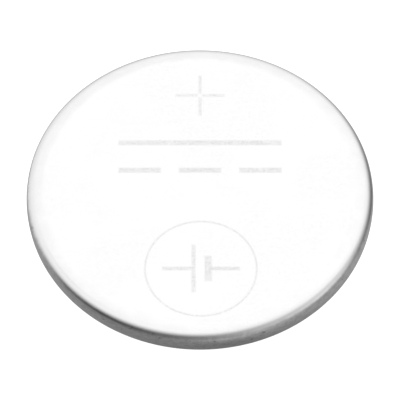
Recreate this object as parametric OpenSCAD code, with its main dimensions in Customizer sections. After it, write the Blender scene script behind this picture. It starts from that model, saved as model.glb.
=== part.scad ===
// Coin cell, lying on its negative cap with the positive can facing up.
// Frame: +Z up, origin at the centre of the negative contact face,
// +Y towards the polarity mark. All sizes in millimetres.

/* [Cell] */
// Outside diameter of the cell
cell_d = 20; // [18:0.1:24.5]
// Overall height, from the negative contact face to the positive one
cell_h = 2.5; // [2.5:0.05:3.6]

/* [Positive can] */
// Sheet thickness of the can
can_t = 0.25; // [0.2:0.01:0.28]
// Outside radius where the flat face turns into the wall
can_edge_r = 0.6; // [0.4:0.05:0.65]
// Outside radius of the crimp that closes the can round the cap
crimp_r = 1.25; // [1.15:0.05:1.35]
// Height of the crimp's centre line tangent above the negative contact face
crimp_rise = 0.2; // [0.15:0.01:0.25]
// How far the crimp turns inwards, in degrees
crimp_turn = 84; // [76:1:88]

/* [Negative cap] */
// Sheet thickness of the cap
cap_t = 0.2; // [0.15:0.01:0.22]
// Diameter of the flat negative contact face
cap_face_d = 15.5; // [14:0.1:15.6]
// Outside radius round the contact face
cap_face_r = 0.35; // [0.3:0.01:0.38]
// Inside radius at the foot of the cap's step
cap_step_r = 0.12; // [0.08:0.01:0.12]
// Height of the shoulder that the crimp presses on
cap_shoulder_z = 0.65; // [0.63:0.01:0.7]
// Outside radius of the shoulder
cap_shoulder_r = 0.5; // [0.4:0.05:0.6]
// Gap between the cap's skirt and the can's wall, filled by the gasket
skirt_gap = 0.37; // [0.3:0.01:0.45]

/* [Sealing gasket] */
// Thickness of the gasket's base under the skirt's edge
gasket_base_t = 0.35; // [0.25:0.01:0.45]
// Radial width of the gasket's base
gasket_base_w = 1.3; // [0.9:0.05:1.4]
// How far the gasket shows past the end of the crimp
gasket_show = 0.33; // [0.15:0.01:0.4]

/* [Electrode stack] */
// Diameter of the lithium disc
lithium_d = 15.2; // [12:0.1:15.2]
// Thickness of the lithium disc
lithium_t = 0.5; // [0.3:0.05:0.6]
// Thickness of the separator cloth
separator_t = 0.15; // [0.1:0.01:0.2]
// Height of the separator's rim above its underside
separator_rim = 0.8; // [0.4:0.05:1]
// Diameter of the cathode pellet
pellet_d = 15.2; // [12:0.1:15.2]
// Thickness of the current collector mesh
mesh_t = 0.1; // [0.05:0.01:0.15]
// Diameter of the current collector mesh
mesh_d = 14.8; // [12:0.1:15.2]
// Spacing of the diamond openings across and along the mesh
mesh_pitch = [2.0, 0.8];
// Size of one diamond opening across and along
mesh_hole = [1.5, 0.52];

/* [Etched marks] */
// Depth of the etched marks in the positive face
mark_depth = 0.02; // [0.01:0.005:0.04]
// Length of each bar of the polarity mark
plus_l = 2.8; // [2:0.1:3.5]
// Stroke width of the polarity mark
plus_w = 0.18; // [0.12:0.01:0.3]
// Distance of the polarity mark from the centre
plus_y = 6.54; // [5.5:0.01:7.5]
// Width of the direct-current sign
dc_l = 9.4; // [6:0.1:11]
// Stroke width of the direct-current sign
dc_w = 0.34; // [0.2:0.01:0.5]
// Heights of the sign's full line and of its dashed line
dc_y = [3.25, 1.35];
// Radius of the ring round the cell symbol
ring_r = 3.2; // [2.5:0.05:3.5]
// Line width of the ring
ring_w = 0.1; // [0.06:0.01:0.2]
// Distance of the ring's centre from the centre of the cell, towards -Y
ring_y = 5.37; // [4.5:0.01:5.4]
// Offset of the ring's centre to the right
ring_x = 0.05; // [0:0.01:0.1]

/* [Hidden] */
$fn = 180;

R = cell_d / 2;
// Crimp: centre of its arc
crimp_cr = R - crimp_r;
crimp_cz = crimp_rise + crimp_r;
// Positive face: centre of the edge's arc
edge_cr = R - can_edge_r;
edge_cz = cell_h - can_edge_r;
// Inside of the can
can_ri = R - can_t;
floor_z = cell_h - can_t;
// Cap, outside surface
face_r = cap_face_d / 2;
step_ro = face_r + cap_face_r;
shoulder_ro = can_ri - skirt_gap;
shoulder_cr = shoulder_ro - cap_shoulder_r;
shoulder_cz = cap_shoulder_z + cap_shoulder_r;
skirt_top = floor_z - gasket_base_t;
step_cr = step_ro + cap_step_r;
step_cz = cap_shoulder_z - cap_step_r;
// Stack, from the cap up
lithium_z = cap_t;
separator_z = lithium_z + lithium_t;
pellet_z = separator_z + separator_t;
mesh_z = floor_z - mesh_t;
// Clearance of the separator's rim round the pellet
rim_gap = 0.04;

module rect(r0, z0, r1, z1) { translate([r0, z0]) square([r1 - r0, z1 - z0]); }

module disc_at(r, z, radius) { translate([r, z]) circle(r = radius); }

// A bent strip of sheet: outside radius ro, thickness t, from angle a0 to a1
module bend(r, z, ro, t, a0, a1) {
  big = 3 * ro;
  translate([r, z]) intersection() {
    difference() { circle(r = ro); circle(r = ro - t); }
    polygon([[0, 0], [big * cos(a0), big * sin(a0)],
             [big * cos((a0 + a1) / 2), big * sin((a0 + a1) / 2)],
             [big * cos(a1), big * sin(a1)]]);
  }
}

// Section of everything inside the can's inner surface
module can_inside() {
  rect(0, crimp_cz - (crimp_r - can_t), crimp_cr, floor_z);
  intersection() {
    disc_at(crimp_cr, crimp_cz, crimp_r - can_t);
    rect(crimp_cr, 0, R, crimp_cz);
  }
  rect(crimp_cr, crimp_cz, edge_cr, floor_z);
  rect(edge_cr, crimp_cz, can_ri, edge_cz);
  intersection() {
    disc_at(edge_cr, edge_cz, can_edge_r - can_t);
    rect(edge_cr, edge_cz, R, floor_z);
  }
}

// Section of everything inside a cap surface: off is 0 for the outer surface
// and the sheet's thickness for the inner one
module cap_inside(off, top) {
  rect(0, off, face_r, top);
  intersection() {
    disc_at(face_r, cap_face_r, cap_face_r - off);
    rect(face_r, off, step_ro, cap_face_r);
  }
  rect(face_r, cap_face_r, step_ro - off, top);
  difference() {
    rect(step_ro - off, step_cz, step_cr, cap_shoulder_z + off);
    disc_at(step_cr, step_cz, cap_step_r + off);
  }
  rect(step_ro - off, cap_shoulder_z + off, shoulder_cr, top);
  intersection() {
    disc_at(shoulder_cr, shoulder_cz, cap_shoulder_r - off);
    rect(shoulder_cr, 0, R, shoulder_cz);
  }
  rect(shoulder_cr, shoulder_cz, shoulder_ro - off, top);
}

module plus_mark() {
  translate([0, plus_y]) {
    square([plus_l, plus_w], center = true);
    square([plus_w, plus_l], center = true);
  }
}

// Direct-current sign: a full line over three dashes
module dc_mark() {
  translate([0, dc_y[0]]) square([dc_l, dc_w], center = true);
  dash = dc_l * 0.26;
  for (i = [-1:1])
    translate([i * (dc_l - dash) / 2, dc_y[1]]) square([dash, dc_w], center = true);
}

// Circuit symbol of one cell: a long thin plate, a short thick one and two leads
module cell_mark() {
  translate([ring_x, -ring_y]) {
    translate([-0.42, 0]) square([0.24, 3.2], center = true);
    translate([0.42, 0]) square([0.42, 1.7], center = true);
    for (s = [-1, 1]) translate([s * 1.36, 0]) square([1.74, 0.24], center = true);
  }
}

module ring_mark() {
  translate([ring_x, -ring_y]) difference() {
    circle(r = ring_r + ring_w / 2);
    circle(r = ring_r - ring_w / 2);
  }
}

// Drawn steel cup, face up, with its rim crimped in round the cap
module positive_can() {
  color([0.86, 0.86, 0.86]) difference() {
    rotate_extrude() {
      rect(0, floor_z, edge_cr, cell_h);
      bend(edge_cr, edge_cz, can_edge_r, can_t, 0, 90);
      rect(can_ri, crimp_cz, R, edge_cz);
      bend(crimp_cr, crimp_cz, crimp_r, can_t, -crimp_turn, 0);
    }
    translate([0, 0, cell_h - mark_depth]) linear_extrude(1) {
      plus_mark();
      dc_mark();
      cell_mark();
      ring_mark();
    }
  }
}

// Moulded grommet between the can and the cap, squeezed by the crimp
module sealing_gasket() {
  show_r = crimp_cr + (crimp_r - can_t) * cos(crimp_turn) - gasket_show;
  color([0.82, 0.83, 0.84]) rotate_extrude() difference() {
    intersection() {
      can_inside();
      union() {
        rect(show_r, 0, R, cell_h);
      }
    }
    cap_inside(0, skirt_top);
    rect(0, skirt_top - 0.001, can_ri - gasket_base_w, cell_h);
  }
}

// Stepped steel cap: contact face, shoulder under the crimp, and skirt
module negative_cap() {
  color([0.80, 0.80, 0.81]) rotate_extrude() difference() {
    cap_inside(0, skirt_top);
    cap_inside(cap_t, skirt_top + 1);
  }
}

// Pressed manganese dioxide disc
module cathode_pellet() {
  color([0.12, 0.12, 0.13]) translate([0, 0, pellet_z])
    cylinder(d = pellet_d, h = mesh_z - pellet_z);
}

// Expanded steel mesh between the pellet and the can's floor
module cathode_collector() {
  rows = floor(mesh_d / 2 / mesh_pitch[1]);
  cols = floor(mesh_d / 2 / mesh_pitch[0]) + 1;
  hx = mesh_hole[0] / 2;
  hy = mesh_hole[1] / 2;
  color([0.62, 0.62, 0.63]) translate([0, 0, mesh_z]) linear_extrude(mesh_t)
    difference() {
      circle(d = mesh_d);
      for (j = [-rows:rows], i = [-cols:cols]) {
        x = (i + (j % 2 == 0 ? 0 : 0.5)) * mesh_pitch[0];
        y = j * mesh_pitch[1];
        if (norm([abs(x) + hx, y]) < mesh_d / 2 - 0.25 && norm([x, abs(y) + hy]) < mesh_d / 2 - 0.25)
          translate([x, y]) polygon([[hx, 0], [0, hy], [-hx, 0], [0, -hy]]);
      }
    }
}

// Nonwoven cloth dish that keeps the pellet off the lithium and the cap
module separator() {
  ri = pellet_d / 2 + rim_gap;
  color([0.93, 0.93, 0.90]) rotate_extrude() {
    rect(0, separator_z, ri, pellet_z);
    rect(ri, separator_z, ri + separator_t, separator_z + separator_rim);
  }
}

// Lithium disc pressed onto the inside of the cap
module lithium_anode() {
  color([0.74, 0.75, 0.78]) translate([0, 0, lithium_z])
    cylinder(d = lithium_d, h = lithium_t);
}

positive_can();
sealing_gasket();
negative_cap();
cathode_pellet();
cathode_collector();
separator();
lithium_anode();
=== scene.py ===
import math

import bmesh
import bpy
from mathutils import Matrix, Vector


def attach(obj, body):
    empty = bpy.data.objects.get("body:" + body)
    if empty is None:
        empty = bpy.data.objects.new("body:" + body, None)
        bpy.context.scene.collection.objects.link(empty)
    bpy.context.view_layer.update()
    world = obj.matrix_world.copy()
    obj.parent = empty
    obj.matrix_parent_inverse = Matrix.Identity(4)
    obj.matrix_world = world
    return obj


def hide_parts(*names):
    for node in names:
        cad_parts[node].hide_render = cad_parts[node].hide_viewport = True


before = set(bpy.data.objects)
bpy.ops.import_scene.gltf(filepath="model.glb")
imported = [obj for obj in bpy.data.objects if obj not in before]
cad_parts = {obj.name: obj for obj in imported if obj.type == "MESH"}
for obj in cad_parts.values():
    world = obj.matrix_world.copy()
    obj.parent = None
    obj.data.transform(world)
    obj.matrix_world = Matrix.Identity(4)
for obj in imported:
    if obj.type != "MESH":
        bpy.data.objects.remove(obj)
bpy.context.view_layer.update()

MM = 0.001

# ---------------------------------------------------------------------------
# Sizes in millimetres, as in the CAD
# ---------------------------------------------------------------------------
R, H = 10.0, 2.5
CAN_T, EDGE_R = 0.25, 0.6
CRIMP_R, CRIMP_RISE, CRIMP_TURN = 1.25, 0.2, 84.0
CAP_T, FACE_R, FACE_EDGE = 0.2, 7.75, 0.35
STEP_R, SHOULDER_Z, SHOULDER_R, SKIRT_GAP = 0.12, 0.65, 0.5, 0.37
BASE_T, BASE_W, SHOW = 0.35, 1.3, 0.33
DEPTH, SOFT = 0.008, 0.03                           # etched marks: how deep, and half the width of their soft edge
PLUS_Y, RING_X, RING_Y, RING_R = 6.54, 0.05, 5.37, 3.2

CR, CZ = R - CRIMP_R, CRIMP_RISE + CRIMP_R          # crimp arc's centre
ER, EZ = R - EDGE_R, H - EDGE_R                     # top edge arc's centre
CAN_RI, FLOOR_Z = R - CAN_T, H - CAN_T
STEP_RO = FACE_R + FACE_EDGE
SH_RO = CAN_RI - SKIRT_GAP
SH_CR, SH_CZ = SH_RO - SHOULDER_R, SHOULDER_Z + SHOULDER_R
SKIRT_TOP = FLOOR_Z - BASE_T
ST_CR, ST_CZ = STEP_RO + STEP_R, SHOULDER_Z - STEP_R

AROUND = 512


# ---------------------------------------------------------------------------
# Mesh helpers
# ---------------------------------------------------------------------------
def arc(cx, cz, r, a0, a1, n):
    """Points on an arc in the (radius, height) plane, from angle a0 to a1 in degrees."""
    out = []
    for i in range(n + 1):
        a = math.radians(a0 + (a1 - a0) * i / n)
        out.append((cx + r * math.cos(a), cz + r * math.sin(a)))
    return out


def rounded(p0, corner, p1, r, n=4):
    """Replaces a sharp corner by a small arc between the lines to p0 and to p1."""
    c, a, b = Vector(corner), Vector(p0), Vector(p1)
    u, v = (a - c).normalized(), (b - c).normalized()
    half = math.acos(max(-1, min(1, u.dot(v)))) / 2
    t = r / math.tan(half)
    m = c + (u + v).normalized() * (r / math.sin(half))
    s, e = c + u * t, c + v * t
    a0 = math.atan2(s.y - m.y, s.x - m.x)
    a1 = math.atan2(e.y - m.y, e.x - m.x)
    while a1 - a0 > math.pi:
        a1 -= 2 * math.pi
    while a1 - a0 < -math.pi:
        a1 += 2 * math.pi
    return [(m.x + r * math.cos(a0 + (a1 - a0) * i / n), m.y + r * math.sin(a0 + (a1 - a0) * i / n)) for i in range(n + 1)]


def clean(points, least=1e-4):
    out = []
    for p in points:
        if not out or math.dist(p, out[-1]) > least:
            out.append(p)
    if len(out) > 2 and math.dist(out[0], out[-1]) <= least:
        out.pop()
    return out


def lathe(name, points, around=AROUND, closed=True):
    """Turns a closed (radius, height) outline round Z. Points on the axis become one flat face, so a disc has no fan."""
    bm = bmesh.new()
    rings = []
    for r, z in points:
        if r < 1e-6:
            rings.append(None)
            continue
        rings.append([bm.verts.new((r * math.cos(2 * math.pi * i / around), r * math.sin(2 * math.pi * i / around), z)) for i in range(around)])
    n = len(points)
    for k in range(n if closed else n - 1):
        a, b = rings[k], rings[(k + 1) % n]
        if a is None and b is None:
            continue
        if a is None or b is None:
            continue
        for i in range(around):
            j = (i + 1) % around
            bm.faces.new((a[i], a[j], b[j], b[i]))
    for k in range(n):
        if rings[k] is None:
            for q in (rings[(k + 1) % n], rings[k - 1]):
                if q is not None and (rings[(k + 1) % n] is q or rings[k - 1] is q):
                    try:
                        bm.faces.new(q)
                    except ValueError:
                        pass
    bmesh.ops.recalc_face_normals(bm, faces=bm.faces[:])
    me = bpy.data.meshes.new(name)
    bm.to_mesh(me)
    bm.free()
    ob = bpy.data.objects.new(name, me)
    bpy.context.scene.collection.objects.link(ob)
    return ob


def prism(name, shapes, z0, z1, soft):
    """A cutter for each shape, wider by soft at z1 than halfway down and narrower by soft at z0, and upright above z1."""
    bm = bmesh.new()
    levels = ((z0, -soft), (z1, soft), (z1 + 0.5, soft))
    for s in shapes:
        if s[0] == "box":
            _, cx, cy, w, h = s
            rings = [[bm.verts.new((cx + sx * (w / 2 + g), cy + sy * (h / 2 + g), z)) for sx, sy in ((-1, -1), (1, -1), (1, 1), (-1, 1))] for z, g in levels]
            bm.faces.new(rings[0][::-1])
            bm.faces.new(rings[2])
            loops = [rings]
        else:
            _, cx, cy, r, w, n = s
            outer = [[bm.verts.new((cx + (r + w / 2 + g) * math.cos(2 * math.pi * i / n), cy + (r + w / 2 + g) * math.sin(2 * math.pi * i / n), z)) for i in range(n)] for z, g in levels]
            inner = [[bm.verts.new((cx + (r - w / 2 - g) * math.cos(2 * math.pi * i / n), cy + (r - w / 2 - g) * math.sin(2 * math.pi * i / n), z)) for i in range(n)] for z, g in levels]
            for i in range(n):
                j = (i + 1) % n
                bm.faces.new((outer[2][i], outer[2][j], inner[2][j], inner[2][i]))
                bm.faces.new((outer[0][j], outer[0][i], inner[0][i], inner[0][j]))
            loops = [outer, inner]
        for rings in loops:
            n = len(rings[0])
            for a, b in ((0, 1), (1, 2)):
                for i in range(n):
                    j = (i + 1) % n
                    bm.faces.new((rings[a][i], rings[a][j], rings[b][j], rings[b][i]))
    bmesh.ops.recalc_face_normals(bm, faces=bm.faces[:])
    me = bpy.data.meshes.new(name)
    bm.to_mesh(me)
    bm.free()
    ob = bpy.data.objects.new(name, me)
    bpy.context.scene.collection.objects.link(ob)
    return ob


def cut(ob, cutter):
    m = ob.modifiers.new("cut", "BOOLEAN")
    m.operation, m.solver, m.object = "DIFFERENCE", "EXACT", cutter
    dg = bpy.context.evaluated_depsgraph_get()
    me = bpy.data.meshes.new_from_object(ob.evaluated_get(dg))
    ob.modifiers.clear()
    old, ob.data = ob.data, me
    bpy.data.meshes.remove(old)
    bpy.data.objects.remove(cutter)


def settle(ob, sharp=32):
    """To metres, smooth where the surface is smooth, and plane where it's level."""
    me = ob.data
    me.transform(Matrix.Scale(MM, 4))
    me.shade_smooth()
    me.set_sharp_from_angle(angle=math.radians(sharp))
    for p in me.polygons:
        heights = [me.vertices[i].co.z for i in p.vertices]
        if max(heights) - min(heights) < 1e-8:
            p.use_smooth = False
    me.update()


# ---------------------------------------------------------------------------
# The positive can
# ---------------------------------------------------------------------------
def can_outline():
    """The drawn can's outside as it shows: the flat face rolls off a little before the edge, and the wall is
    very slightly barrelled. It's followed by its slope, from the end of the flat to the crimped lip."""
    flat_r, bevel, roll, edge_r, wall_end, barrel = 8.9, 5.0, 7.0, 0.56, 1.30, 8.0

    def slope(x):
        """Tilt of the face between the end of the flat (0) and the start of the edge (1): a soft bevel."""
        q = min(1.0, x / 0.6)
        return bevel * q * q * (3 - 2 * q) + (roll - bevel) * max(0.0, (x - 0.6) / 0.4)

    def follow(start):
        r, z = start, H
        pts = [(r, z)]
        n = 20
        for i in range(n):
            dr = (ER_IN - start) / n
            r += dr
            z -= dr * math.tan(math.radians(slope((i + 0.5) / n)))
            pts.append((r, z))
        n = 40
        turn = 90 - roll - barrel
        for i in range(n):
            a = math.radians(90 - roll - turn * (i + 0.5) / n)
            ds = edge_r * math.radians(turn) / n
            r += ds * math.sin(a)
            z -= ds * math.cos(a)
            pts.append((r, z))
        n = 12
        dz = (z - wall_end) / n
        for i in range(n):
            r += dz * math.tan(math.radians(barrel - 2 * barrel * (i + 0.5) / n))
            z -= dz
            pts.append((r, z))
        n = 38
        turn = CRIMP_TURN - barrel
        low = CZ - CRIMP_R * math.sin(math.radians(CRIMP_TURN))
        rad = (z - low) / (math.sin(math.radians(CRIMP_TURN)) - math.sin(math.radians(barrel)))
        for i in range(n):
            a = math.radians(-barrel - turn * (i + 0.5) / n)
            ds = rad * math.radians(turn) / n
            r += ds * math.sin(a)
            z -= ds * math.cos(a)
            pts.append((r, z))
        return pts

    ER_IN = 9.45
    for _ in range(6):
        pts = follow(flat_r)
        ER_IN += R - max(p[0] for p in pts)
    return pts


def make_can():
    a = math.radians(CRIMP_TURN)
    lip_i = (CR + (CRIMP_R - CAN_T) * math.cos(a), CZ - (CRIMP_R - CAN_T) * math.sin(a))
    in_arc = arc(CR, CZ, CRIMP_R - CAN_T, -CRIMP_TURN, 0, 16)
    outside = can_outline()
    lip_o = outside[-1]
    pts = [(0, H), (8.72, H), (8.86, H)]
    pts += outside[:-2]
    pts += rounded(outside[-3], lip_o, lip_i, 0.045)
    pts += rounded(lip_o, lip_i, in_arc[2], 0.03, 3)
    pts += in_arc[2:]
    pts += [(CAN_RI, 1.7)]
    pts += arc(ER, EZ, EDGE_R - CAN_T, 0, 90, 8)
    pts += [(0, FLOOR_Z)]
    ob = lathe("can_shell", clean(pts))
    cx, cy, dash = RING_X, -RING_Y, 9.4 * 0.26
    marks = [
        [("box", s * 0.76, PLUS_Y, 1.28, 0.18) for s in (-1, 1)],
        [("box", 0, PLUS_Y + s * 0.76, 0.18, 1.28) for s in (-1, 1)],
        [("box", 0, 3.25, 9.4, 0.34)] + [("box", i * (9.4 - dash) / 2, 1.35, dash, 0.34) for i in (-1, 0, 1)],
        [("box", cx - 0.42, cy, 0.24, 3.2), ("box", cx + 0.42, cy, 0.42, 1.7), ("ring", cx, cy, RING_R, 0.1, 256)],
        [("box", cx + s * 1.36, cy, 1.74, 0.24) for s in (-1, 1)],
    ]
    for k, shapes in enumerate(marks):
        cut(ob, prism("cutter_%d" % k, shapes, H - DEPTH, H, SOFT))
    settle(ob)
    return ob


def mark_etched(ob):
    """Gives the sunken floors the second material, those of the plus the fourth and of the ring the fifth, the slopes the third."""
    etched = (H - DEPTH) * MM
    for p in ob.data.polygons:
        heights = [ob.data.vertices[i].co.z for i in p.vertices]
        if abs(min(heights) - etched) < 4e-7 and math.hypot(p.center.x, p.center.y) < 8.68 * MM:
            plus = p.center.y > (PLUS_Y - 2) * MM
            ring = math.hypot(p.center.x - RING_X * MM, p.center.y + RING_Y * MM) > (RING_R - 0.3) * MM and p.center.y < -1.5 * MM
            p.material_index = 2 if max(heights) - etched >= 4e-7 else 3 if plus else 4 if ring else 1


# ---------------------------------------------------------------------------
# The negative cap
# ---------------------------------------------------------------------------
def make_cap():
    t = CAP_T
    pts = [(0, 0), (FACE_R, 0)]
    pts += arc(FACE_R, FACE_EDGE, FACE_EDGE, -90, 0, 24)
    pts += arc(ST_CR, ST_CZ, STEP_R, 180, 90, 8)
    pts += arc(SH_CR, SH_CZ, SHOULDER_R, -90, 0, 14)
    top_o, top_i = (SH_RO, SKIRT_TOP), (SH_RO - t, SKIRT_TOP)
    pts += rounded(pts[-1], top_o, top_i, 0.04, 3)
    inner = arc(SH_CR, SH_CZ, SHOULDER_R - t, 0, -90, 8)
    pts += rounded(top_o, top_i, inner[0], 0.04, 3)
    pts += inner
    pts += arc(ST_CR, ST_CZ, STEP_R + t, 90, 180, 8)
    pts += arc(FACE_R, FACE_EDGE, FACE_EDGE - t, 0, -90, 6)
    pts += [(0, t)]
    ob = lathe("cap_shell", clean(pts))
    settle(ob)
    return ob


# ---------------------------------------------------------------------------
# The gasket
# ---------------------------------------------------------------------------
def make_gasket():
    ri = CRIMP_R - CAN_T
    show_r = CR + ri * math.cos(math.radians(CRIMP_TURN)) - SHOW
    zb = CZ - ri
    pts = []
    # free end, rounded where it shows between the crimp and the cap
    pts += rounded((CR, zb), (show_r, zb), (show_r, SHOULDER_Z), 0.07, 6)
    pts += rounded((show_r, zb), (show_r, SHOULDER_Z), (SH_CR, SHOULDER_Z), 0.03, 3)
    pts += arc(SH_CR, SH_CZ, SHOULDER_R, -90, 0, 12)
    pts += [(SH_RO, SKIRT_TOP), (CAN_RI - BASE_W, SKIRT_TOP), (CAN_RI - BASE_W, FLOOR_Z)]
    pts += arc(ER, EZ, EDGE_R - CAN_T, 90, 0, 6)
    pts += arc(CR, CZ, ri, 0, -90, 16)
    ob = lathe("gasket_ring", clean(pts), 384)
    settle(ob, 40)
    return ob


can = make_can()
cap = make_cap()
gasket = make_gasket()


# ---------------------------------------------------------------------------
# Materials
# ---------------------------------------------------------------------------
class Nodes:
    """A little shorthand for building node trees."""

    def __init__(self, tree):
        self.t = tree

    def add(self, kind, **kw):
        n = self.t.nodes.new(kind)
        for k, v in kw.items():
            setattr(n, k, v)
        return n

    def put(self, socket, value):
        if hasattr(value, "is_linked") or isinstance(value, bpy.types.NodeSocket):
            self.t.links.new(value, socket)
        else:
            socket.default_value = value

    def math(self, op, a, b=0.0, c=0.0, clamp=False):
        n = self.add("ShaderNodeMath", operation=op, use_clamp=clamp)
        for s, v in zip(n.inputs, (a, b, c)):
            self.put(s, v)
        return n.outputs[0]

    def vmath(self, op, a, b=(0, 0, 0)):
        n = self.add("ShaderNodeVectorMath", operation=op)
        self.put(n.inputs[0], a)
        self.put(n.inputs[1], b)
        return n.outputs["Value"] if op in ("DOT_PRODUCT", "LENGTH") else n.outputs[0]

    def noise(self, vec, scale=1.0, detail=2.0, rough=0.5, dist=0.0):
        n = self.add("ShaderNodeTexNoise")
        self.put(n.inputs["Vector"], vec)
        self.put(n.inputs["Scale"], scale)
        self.put(n.inputs["Detail"], detail)
        self.put(n.inputs["Roughness"], rough)
        self.put(n.inputs["Distortion"], dist)
        return n.outputs["Fac"]

    def ramp(self, fac, lo, hi, a=0.0, b=1.0, smooth=True):
        n = self.add("ShaderNodeMapRange", interpolation_type="SMOOTHSTEP" if smooth else "LINEAR")
        self.put(n.inputs["Value"], fac)
        self.put(n.inputs["From Min"], lo)
        self.put(n.inputs["From Max"], hi)
        self.put(n.inputs["To Min"], a)
        self.put(n.inputs["To Max"], b)
        return n.outputs["Result"]

    def mapping(self, vec, scale=(1, 1, 1), rot=(0, 0, 0), loc=(0, 0, 0)):
        n = self.add("ShaderNodeMapping")
        self.put(n.inputs["Vector"], vec)
        n.inputs["Scale"].default_value = scale
        n.inputs["Rotation"].default_value = rot
        n.inputs["Location"].default_value = loc
        return n.outputs[0]

    def mix(self, fac, a, b):
        n = self.add("ShaderNodeMix", data_type="RGBA")
        self.put(n.inputs[0], fac)
        self.put(n.inputs[6], a)
        self.put(n.inputs[7], b)
        return n.outputs[2]

    def bump(self, height, distance, strength=1.0, normal=None):
        n = self.add("ShaderNodeBump")
        self.put(n.inputs["Height"], height)
        n.inputs["Distance"].default_value = distance
        n.inputs["Strength"].default_value = strength
        if normal is not None:
            self.put(n.inputs["Normal"], normal)
        return n.outputs[0]


def material(name):
    m = bpy.data.materials.new(name)
    m.use_nodes = True
    m.node_tree.nodes.clear()
    n = Nodes(m.node_tree)
    out = n.add("ShaderNodeOutputMaterial")
    b = n.add("ShaderNodeBsdfPrincipled")
    m.node_tree.links.new(b.outputs[0], out.inputs["Surface"])
    tc = n.add("ShaderNodeTexCoord")
    mm = n.mapping(tc.outputs["Object"], (1000, 1000, 1000))  # object coordinates in millimetres
    return m, n, b, mm


def round_coords(n, mm, around, along):
    """Coordinates that follow the rim: slow round the axis, fast along the height and radius."""
    sep = n.add("ShaderNodeSeparateXYZ")
    n.put(sep.inputs[0], mm)
    flat = n.add("ShaderNodeCombineXYZ")
    n.put(flat.inputs[0], sep.outputs[0])
    n.put(flat.inputs[1], sep.outputs[1])
    unit = n.vmath("NORMALIZE", flat.outputs[0])
    s2 = n.add("ShaderNodeSeparateXYZ")
    n.put(s2.inputs[0], unit)
    rad = n.vmath("LENGTH", flat.outputs[0])
    line = n.math("MULTIPLY", n.math("ADD", sep.outputs[2], rad), along)
    c = n.add("ShaderNodeCombineXYZ")
    n.put(c.inputs[0], n.math("MULTIPLY", s2.outputs[0], around))
    n.put(c.inputs[1], n.math("MULTIPLY", s2.outputs[1], around))
    n.put(c.inputs[2], line)
    return c.outputs[0], rad, sep.outputs[2]


def hairlines(n, mm, angle, length, width, seed, lo=0.66, hi=0.72):
    """Sparse straight hairline scratches at one angle: 1 in a scratch, 0 elsewhere."""
    v = n.mapping(mm, (1.0 / length, 1.0 / width, 1.0 / length), (0, 0, math.radians(angle)), (seed * 3.7, seed * 9.1, seed))
    return n.ramp(n.noise(v, 1.0, 1.0, 0.4, 0.15), lo, hi)


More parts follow.
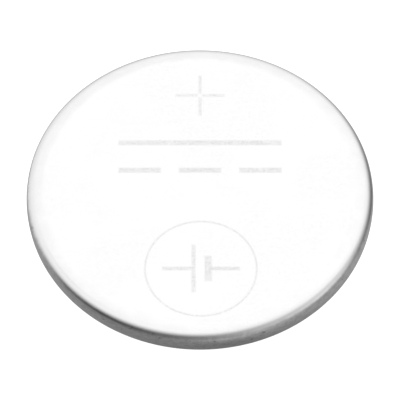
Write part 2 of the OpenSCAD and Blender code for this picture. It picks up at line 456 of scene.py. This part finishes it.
def steel_can():
    m, n, b, mm = material("polished_can_steel")
    rc, rad, z = round_coords(n, mm, 14.0, 26.0)
    rim = n.ramp(rad, 9.5, 9.85)                        # 1 past the edge, 0 on the face
    wall = n.ramp(rad, 9.78, 9.94)                      # 1 on the wall itself
    bevel = n.math("MULTIPLY", n.ramp(rad, 8.8, 9.05), n.ramp(rad, 9.75, 9.55))
    draw = n.noise(rc, 1.0, 3.0, 0.6)                   # drawing lines round the wall
    blotch = n.noise(round_coords(n, mm, 30.0, 4.6)[0], 1.0, 2.0, 0.6)   # wider rub marks along them
    cloud = n.noise(mm, 0.55, 3.0, 0.55)                # slow handling haze
    peel = n.noise(mm, 2.6, 2.0, 0.5)                   # slight orange peel where the sheet was bent
    mott = n.noise(mm, 6.5, 3.0, 0.65)                  # fine mottle of the rolled skin
    pits = n.math("MULTIPLY", n.ramp(n.noise(mm, 3.2, 1.0, 0.4), 0.675, 0.75), n.ramp(rad, 9.8, 9.93))
    s1 = hairlines(n, mm, 28, 3.2, 0.035, 1.0)
    s2 = hairlines(n, mm, -41, 2.4, 0.03, 2.0, 0.68, 0.73)
    s3 = hairlines(n, mm, 83, 4.0, 0.04, 3.0, 0.68, 0.74)
    scratch = n.math("MAXIMUM", s1, n.math("MAXIMUM", s2, s3))
    nick = n.noise(n.mapping(mm, (0.8, 5.5, 8.0), (0, math.radians(35), math.radians(20))), 1.0, 2.0, 0.5)
    nick = n.math("MULTIPLY", n.ramp(nick, 0.64, 0.70), wall)
    patch = n.math("MULTIPLY", n.ramp(n.noise(mm, 0.28, 1.0, 0.4), 0.42, 0.62), n.ramp(mott, 0.46, 0.68))
    col = n.mix(n.math("MULTIPLY", patch, n.math("SUBTRACT", 1.0, rim)), (0.888, 0.888, 0.888, 1), (0.862, 0.862, 0.862, 1))
    worn = n.math("MULTIPLY", n.ramp(n.noise(mm, 0.9, 3.0, 0.6), 0.38, 0.62), bevel)
    col = n.mix(n.math("MULTIPLY", worn, 0.8), col, (0.862, 0.862, 0.862, 1))
    rub = n.mix(n.ramp(blotch, 0.40, 0.62), (0.955, 0.955, 0.955, 1), (0.80, 0.80, 0.80, 1))
    rub = n.mix(n.math("MULTIPLY", n.ramp(mott, 0.3, 0.7), 0.45), rub, (0.83, 0.83, 0.83, 1))
    rub = n.mix(n.math("MULTIPLY", n.ramp(draw, 0.35, 0.7), 0.15), rub, (0.80, 0.80, 0.80, 1))
    col = n.mix(wall, col, rub)
    col = n.mix(n.math("MULTIPLY", n.math("MULTIPLY", pits, wall), 0.45), col, (0.36, 0.36, 0.36, 1))
    col = n.mix(n.math("MULTIPLY", nick, 0.35), col, (1.0, 1.0, 1.0, 1))
    n.put(b.inputs["Base Color"], col)
    b.inputs["Metallic"].default_value = 1.0
    rough = n.math("ADD", n.ramp(cloud, 0.3, 0.7, 0.09, 0.14), n.math("MULTIPLY", rim, 0.04))
    rough = n.math("ADD", rough, n.math("MULTIPLY", scratch, 0.06))
    n.put(b.inputs["Roughness"], rough)
    h = n.math("MULTIPLY", n.math("ADD", n.math("MULTIPLY", draw, 0.7), n.math("MULTIPLY", mott, 0.6)), rim)
    h = n.math("ADD", h, n.math("MULTIPLY", n.math("MULTIPLY", blotch, wall), 1.6))
    h = n.math("ADD", h, n.math("MULTIPLY", n.math("MULTIPLY", peel, bevel), 1.6))
    h = n.math("ADD", h, n.math("MULTIPLY", n.math("MULTIPLY", mott, bevel), 0.5))
    h = n.math("SUBTRACT", h, n.math("MULTIPLY", scratch, 0.12))
    h = n.math("SUBTRACT", h, n.math("MULTIPLY", n.math("MULTIPLY", pits, rim), 1.0))
    n.put(b.inputs["Normal"], n.bump(h, 0.0000035, 1.0))
    return m


def steel_etched(name, lift, dark=0.74, light=0.865):
    m, n, b, mm = material(name)
    hatch = n.noise(n.mapping(mm, (3.0, 16.0, 1.0), (0, 0, math.radians(8))), 1.0, 2.0, 0.6)
    speck = n.noise(mm, 8.0, 2.0, 0.7)
    mott = n.noise(mm, 1.6, 2.0, 0.5)
    f = n.math("ADD", n.math("MULTIPLY", hatch, 0.25), n.math("ADD", n.math("MULTIPLY", speck, 0.6), n.math("MULTIPLY", mott, 0.15)))
    lo, hi = dark + (0.88 - dark) * lift, light + (0.90 - light) * lift
    col = n.mix(n.ramp(f, 0.38, 0.62), (lo, lo, lo, 1), (hi, hi, hi, 1))
    n.put(b.inputs["Base Color"], col)
    b.inputs["Metallic"].default_value = 1.0
    n.put(b.inputs["Roughness"], n.ramp(speck, 0.3, 0.7, 0.42 - 0.22 * lift, 0.58 - 0.3 * lift))
    n.put(b.inputs["Normal"], n.bump(f, 0.000008, 1.0))
    return m


def steel_cap():
    m, n, b, mm = material("rolled_cap_steel")
    rc, rad, z = round_coords(n, mm, 10.0, 22.0)
    face = n.ramp(rad, 7.9, 7.7)
    grain = n.noise(n.mapping(mm, (0.35, 11.0, 3.0)), 1.0, 4.0, 0.6)
    fine = n.noise(n.mapping(mm, (1.0, 30.0, 3.0)), 1.0, 2.0, 0.6)
    turned = n.noise(rc, 1.0, 3.0, 0.6)
    cloud = n.noise(mm, 0.4, 3.0, 0.5)
    s1 = hairlines(n, mm, 17, 3.0, 0.04, 4.0)
    s2 = hairlines(n, mm, -58, 2.2, 0.03, 5.0, 0.68, 0.73)
    scratch = n.math("MAXIMUM", s1, s2)
    col = n.mix(n.ramp(grain, 0.3, 0.7), (0.80, 0.80, 0.805, 1), (0.88, 0.88, 0.88, 1))
    n.put(b.inputs["Base Color"], col)
    b.inputs["Metallic"].default_value = 1.0
    rough = n.math("ADD", n.ramp(cloud, 0.3, 0.7, 0.16, 0.26), n.math("MULTIPLY", scratch, 0.12))
    n.put(b.inputs["Roughness"], rough)
    h = n.math("MULTIPLY", n.math("ADD", n.math("MULTIPLY", grain, 0.7), n.math("MULTIPLY", fine, 0.4)), face)
    h = n.math("ADD", h, n.math("MULTIPLY", n.math("MULTIPLY", turned, n.math("SUBTRACT", 1.0, face)), 0.1))
    h = n.math("SUBTRACT", h, n.math("MULTIPLY", n.math("MULTIPLY", scratch, face), 0.6))
    n.put(b.inputs["Normal"], n.bump(h, 0.000004, 1.0))
    return m


def plastic_gasket():
    m, n, b, mm = material("gasket_polypropylene")
    mott = n.noise(mm, 1.2, 3.0, 0.55)
    fine = n.noise(mm, 14.0, 2.0, 0.6)
    col = n.mix(n.ramp(mott, 0.3, 0.7), (0.72, 0.73, 0.72, 1), (0.80, 0.805, 0.80, 1))
    n.put(b.inputs["Base Color"], col)
    n.put(b.inputs["Roughness"], n.ramp(fine, 0.3, 0.7, 0.38, 0.52))
    b.inputs["IOR"].default_value = 1.49
    n.put(b.inputs["Normal"], n.bump(fine, 0.000005, 0.6))
    return m


def pressed_powder():
    m, n, b, mm = material("pressed_manganese_dioxide")
    grains = n.noise(mm, 12.0, 4.0, 0.7)
    fleck = n.ramp(n.noise(mm, 22.0, 1.0, 0.4), 0.68, 0.74)
    col = n.mix(n.ramp(grains, 0.3, 0.7), (0.020, 0.020, 0.022, 1), (0.060, 0.060, 0.064, 1))
    col = n.mix(fleck, col, (0.16, 0.16, 0.17, 1))
    n.put(b.inputs["Base Color"], col)
    n.put(b.inputs["Roughness"], n.ramp(grains, 0.3, 0.7, 0.65, 0.9))
    n.put(b.inputs["Normal"], n.bump(grains, 0.00002, 1.0))
    return m


def mesh_steel():
    m, n, b, mm = material("expanded_mesh_steel")
    grain = n.noise(n.mapping(mm, (1.2, 9.0, 4.0)), 1.0, 3.0, 0.6)
    col = n.mix(n.ramp(grain, 0.3, 0.7), (0.55, 0.55, 0.56, 1), (0.70, 0.70, 0.71, 1))
    n.put(b.inputs["Base Color"], col)
    b.inputs["Metallic"].default_value = 1.0
    n.put(b.inputs["Roughness"], n.ramp(grain, 0.3, 0.7, 0.28, 0.42))
    n.put(b.inputs["Normal"], n.bump(grain, 0.000004, 1.0))
    return m


def nonwoven():
    m, n, b, mm = material("nonwoven_separator")
    fibres = [n.noise(n.mapping(mm, (0.8, 16.0, 4.0), (0, 0, math.radians(a)), (a, 0, 0)), 1.0, 2.0, 0.6) for a in (12, 57, 101, 149)]
    f = fibres[0]
    for g in fibres[1:]:
        f = n.math("MAXIMUM", f, g)
    col = n.mix(n.ramp(f, 0.5, 0.72), (0.74, 0.74, 0.70, 1), (0.90, 0.90, 0.87, 1))
    n.put(b.inputs["Base Color"], col)
    n.put(b.inputs["Roughness"], n.ramp(f, 0.4, 0.8, 0.75, 0.95))
    n.put(b.inputs["Normal"], n.bump(f, 0.00001, 1.0))
    return m


def soft_lithium():
    m, n, b, mm = material("rolled_lithium")
    grain = n.noise(n.mapping(mm, (0.4, 7.0, 3.0)), 1.0, 3.0, 0.6)
    haze = n.noise(mm, 0.8, 3.0, 0.55)
    col = n.mix(n.ramp(haze, 0.3, 0.7), (0.58, 0.59, 0.62, 1), (0.76, 0.77, 0.79, 1))
    n.put(b.inputs["Base Color"], col)
    b.inputs["Metallic"].default_value = 1.0
    n.put(b.inputs["Roughness"], n.ramp(haze, 0.3, 0.7, 0.30, 0.48))
    n.put(b.inputs["Normal"], n.bump(grain, 0.000006, 1.0))
    return m


def paint(ob, *mats):
    ob.data.materials.clear()
    for m in mats:
        ob.data.materials.append(m)


paint(can, steel_can(), steel_etched("etched_can_steel", 0.1, 0.745, 0.925), steel_etched("etched_edge_steel", 0.75),
      steel_etched("etched_thin_steel", 0.4, 0.663, 0.942), steel_etched("etched_ring_steel", 0.1, 0.68, 0.928))
mark_etched(can)
paint(cap, steel_cap())
paint(gasket, plastic_gasket())
for piece, node, slot in ((can, "positive_can", "can_steel"), (cap, "negative_cap", "cap_steel"), (gasket, "sealing_gasket", "gasket")):
    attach(piece, "root")
    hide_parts(node)

for node, mat in (("cathode_pellet", pressed_powder()), ("cathode_collector", mesh_steel()),
                  ("separator", nonwoven()), ("lithium_anode", soft_lithium())):
    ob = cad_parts[node]
    if ob.material_slots:
        for s in ob.material_slots:
            s.material = mat
    else:
        ob.data.materials.append(mat)


# ---------------------------------------------------------------------------
# Floor, light and camera
# ---------------------------------------------------------------------------
def make_floor():
    bm = bmesh.new()
    bmesh.ops.create_circle(bm, cap_ends=True, segments=96, radius=2.0)
    me = bpy.data.meshes.new("floor")
    bm.to_mesh(me)
    bm.free()
    ob = bpy.data.objects.new("floor", me)
    bpy.context.scene.collection.objects.link(ob)
    m = bpy.data.materials.new("pale_floor")
    m.use_nodes = True
    m.node_tree.nodes.clear()
    n = Nodes(m.node_tree)
    out = n.add("ShaderNodeOutputMaterial")
    b = n.add("ShaderNodeBsdfPrincipled")
    b.inputs["Base Color"].default_value = (0.3, 0.3, 0.3, 1)
    b.inputs["Roughness"].default_value = 0.9
    b.inputs["Specular IOR Level"].default_value = 0.0
    b.inputs["Emission Color"].default_value = (1, 1, 1, 1)
    b.inputs["Emission Strength"].default_value = 1.0
    clear = n.add("ShaderNodeBsdfTransparent")
    geo = n.add("ShaderNodeNewGeometry")
    mix = n.add("ShaderNodeMixShader")
    n.put(mix.inputs[0], geo.outputs["Backfacing"])
    m.node_tree.links.new(b.outputs[0], mix.inputs[1])
    m.node_tree.links.new(clear.outputs[0], mix.inputs[2])
    m.node_tree.links.new(mix.outputs[0], out.inputs["Surface"])
    ob.data.materials.append(m)
    ob.visible_glossy = False
    return ob


def direction(azimuth, elevation):
    """Unit vector; azimuth 0 is behind the cell (+Y) and 90 to its right (+X)."""
    a, e = math.radians(azimuth), math.radians(elevation)
    return (math.sin(a) * math.cos(e), math.cos(a) * math.cos(e), math.sin(e))


def make_world():
    """A plain studio: a soft white dome that leans to the back left, soft lights low on the right and in front,
    and grey cards between them. Each light or card is (azimuth, elevation, tightness, power)."""
    w = bpy.data.worlds.new("studio")
    bpy.context.scene.world = w
    w.use_nodes = True
    w.node_tree.nodes.clear()
    n = Nodes(w.node_tree)
    tc = n.add("ShaderNodeTexCoord")
    d = n.vmath("NORMALIZE", tc.outputs["Generated"])
    sep = n.add("ShaderNodeSeparateXYZ")
    n.put(sep.inputs[0], d)
    up = n.math("MAXIMUM", sep.outputs[2], 0.0)
    dome = n.ramp(n.vmath("DOT_PRODUCT", d, direction(-30.4, 51)), 0.149 - 0.475, 0.149 + 0.475)
    e = n.math("ADD", n.math("MULTIPLY", dome, 0.763 - 0.121), 0.121)
    e = n.math("ADD", e, n.math("MULTIPLY", n.math("MULTIPLY", up, dome), 0.324))
    edge = math.cos(math.radians(11.35))
    box = n.ramp(n.vmath("DOT_PRODUCT", d, direction(4.8, 59.1)), edge - 0.0185, edge + 0.0185)
    e = n.math("ADD", e, n.math("MULTIPLY", box, 0.068))
    lights = ((141, 15.8, 7.4, 0.371), (-117.9, 0, 8.2, -0.148), (25.8, -60.6, 2.23, 0.853), (44.3, -12.2, 7.05, -0.353),
              (159.1, -30, 12.3, 0.167), (33.4, -74.8, 4.17, -0.670), (106.3, 14.1, 15.6, 0.479), (-10.7, -23.5, 10, -0.339),
              (160.7, -55.1, 29.4, -0.086), (-75.6, 59.4, 26.8, -0.095), (-99.2, -13.2, 46.9, -0.098), (118.6, 72.5, 47.6, -0.078))
    for az, el, tight, power in lights:
        lobe = n.math("EXPONENT", n.math("MULTIPLY", n.math("SUBTRACT", n.vmath("DOT_PRODUCT", d, direction(az, el)), 1.0), tight))
        e = n.math("ADD", e, n.math("MULTIPLY", lobe, power))
    e = n.math("MAXIMUM", e, 0.02)
    bg = n.add("ShaderNodeBackground")
    bg.inputs["Color"].default_value = (1, 1, 1, 1)
    n.put(bg.inputs["Strength"], e)
    seen = n.add("ShaderNodeBackground")
    seen.inputs["Color"].default_value = (1, 1, 1, 1)
    seen.inputs["Strength"].default_value = 1.0
    path = n.add("ShaderNodeLightPath")
    mix = n.add("ShaderNodeMixShader")
    n.put(mix.inputs[0], path.outputs["Is Camera Ray"])
    w.node_tree.links.new(bg.outputs[0], mix.inputs[1])
    w.node_tree.links.new(seen.outputs[0], mix.inputs[2])
    out = n.add("ShaderNodeOutputWorld")
    w.node_tree.links.new(mix.outputs[0], out.inputs["Surface"])


def make_camera():
    """The photograph's view: 57 degrees above the horizon, square on, through a long lens."""
    elev, dist, scale = math.radians(56.99), 450.0, 17.319      # mm, and pixels a millimetre at the cell
    off_x, off_y = 199.496 + 0.5 - 200.0, 203.419 + 0.5 - 200.0  # where the point 1 mm above the origin lies, in pixels from the frame's centre
    back = Vector((0, -math.cos(elev), math.sin(elev)))
    right = Vector((1, 0, 0))
    up = back.cross(right)
    target = Vector((0, 0, 1.0)) - right * (off_x / scale) + up * (off_y / scale)
    data = bpy.data.cameras.new("camera")
    data.sensor_width = 36.0
    data.sensor_fit = "AUTO"
    data.lens = scale * dist * 36.0 / 400.0
    data.clip_start, data.clip_end = 0.05, 10.0
    cam = bpy.data.objects.new("camera", data)
    bpy.context.scene.collection.objects.link(cam)
    cam.location = (target + back * dist) * MM
    cam.rotation_mode = "QUATERNION"
    cam.rotation_quaternion = (-back).to_track_quat("-Z", "Y")
    bpy.context.scene.camera = cam


make_floor()
make_world()
make_camera()
scene = bpy.context.scene
scene.view_settings.view_transform = "Standard"
scene.view_settings.look = "None"
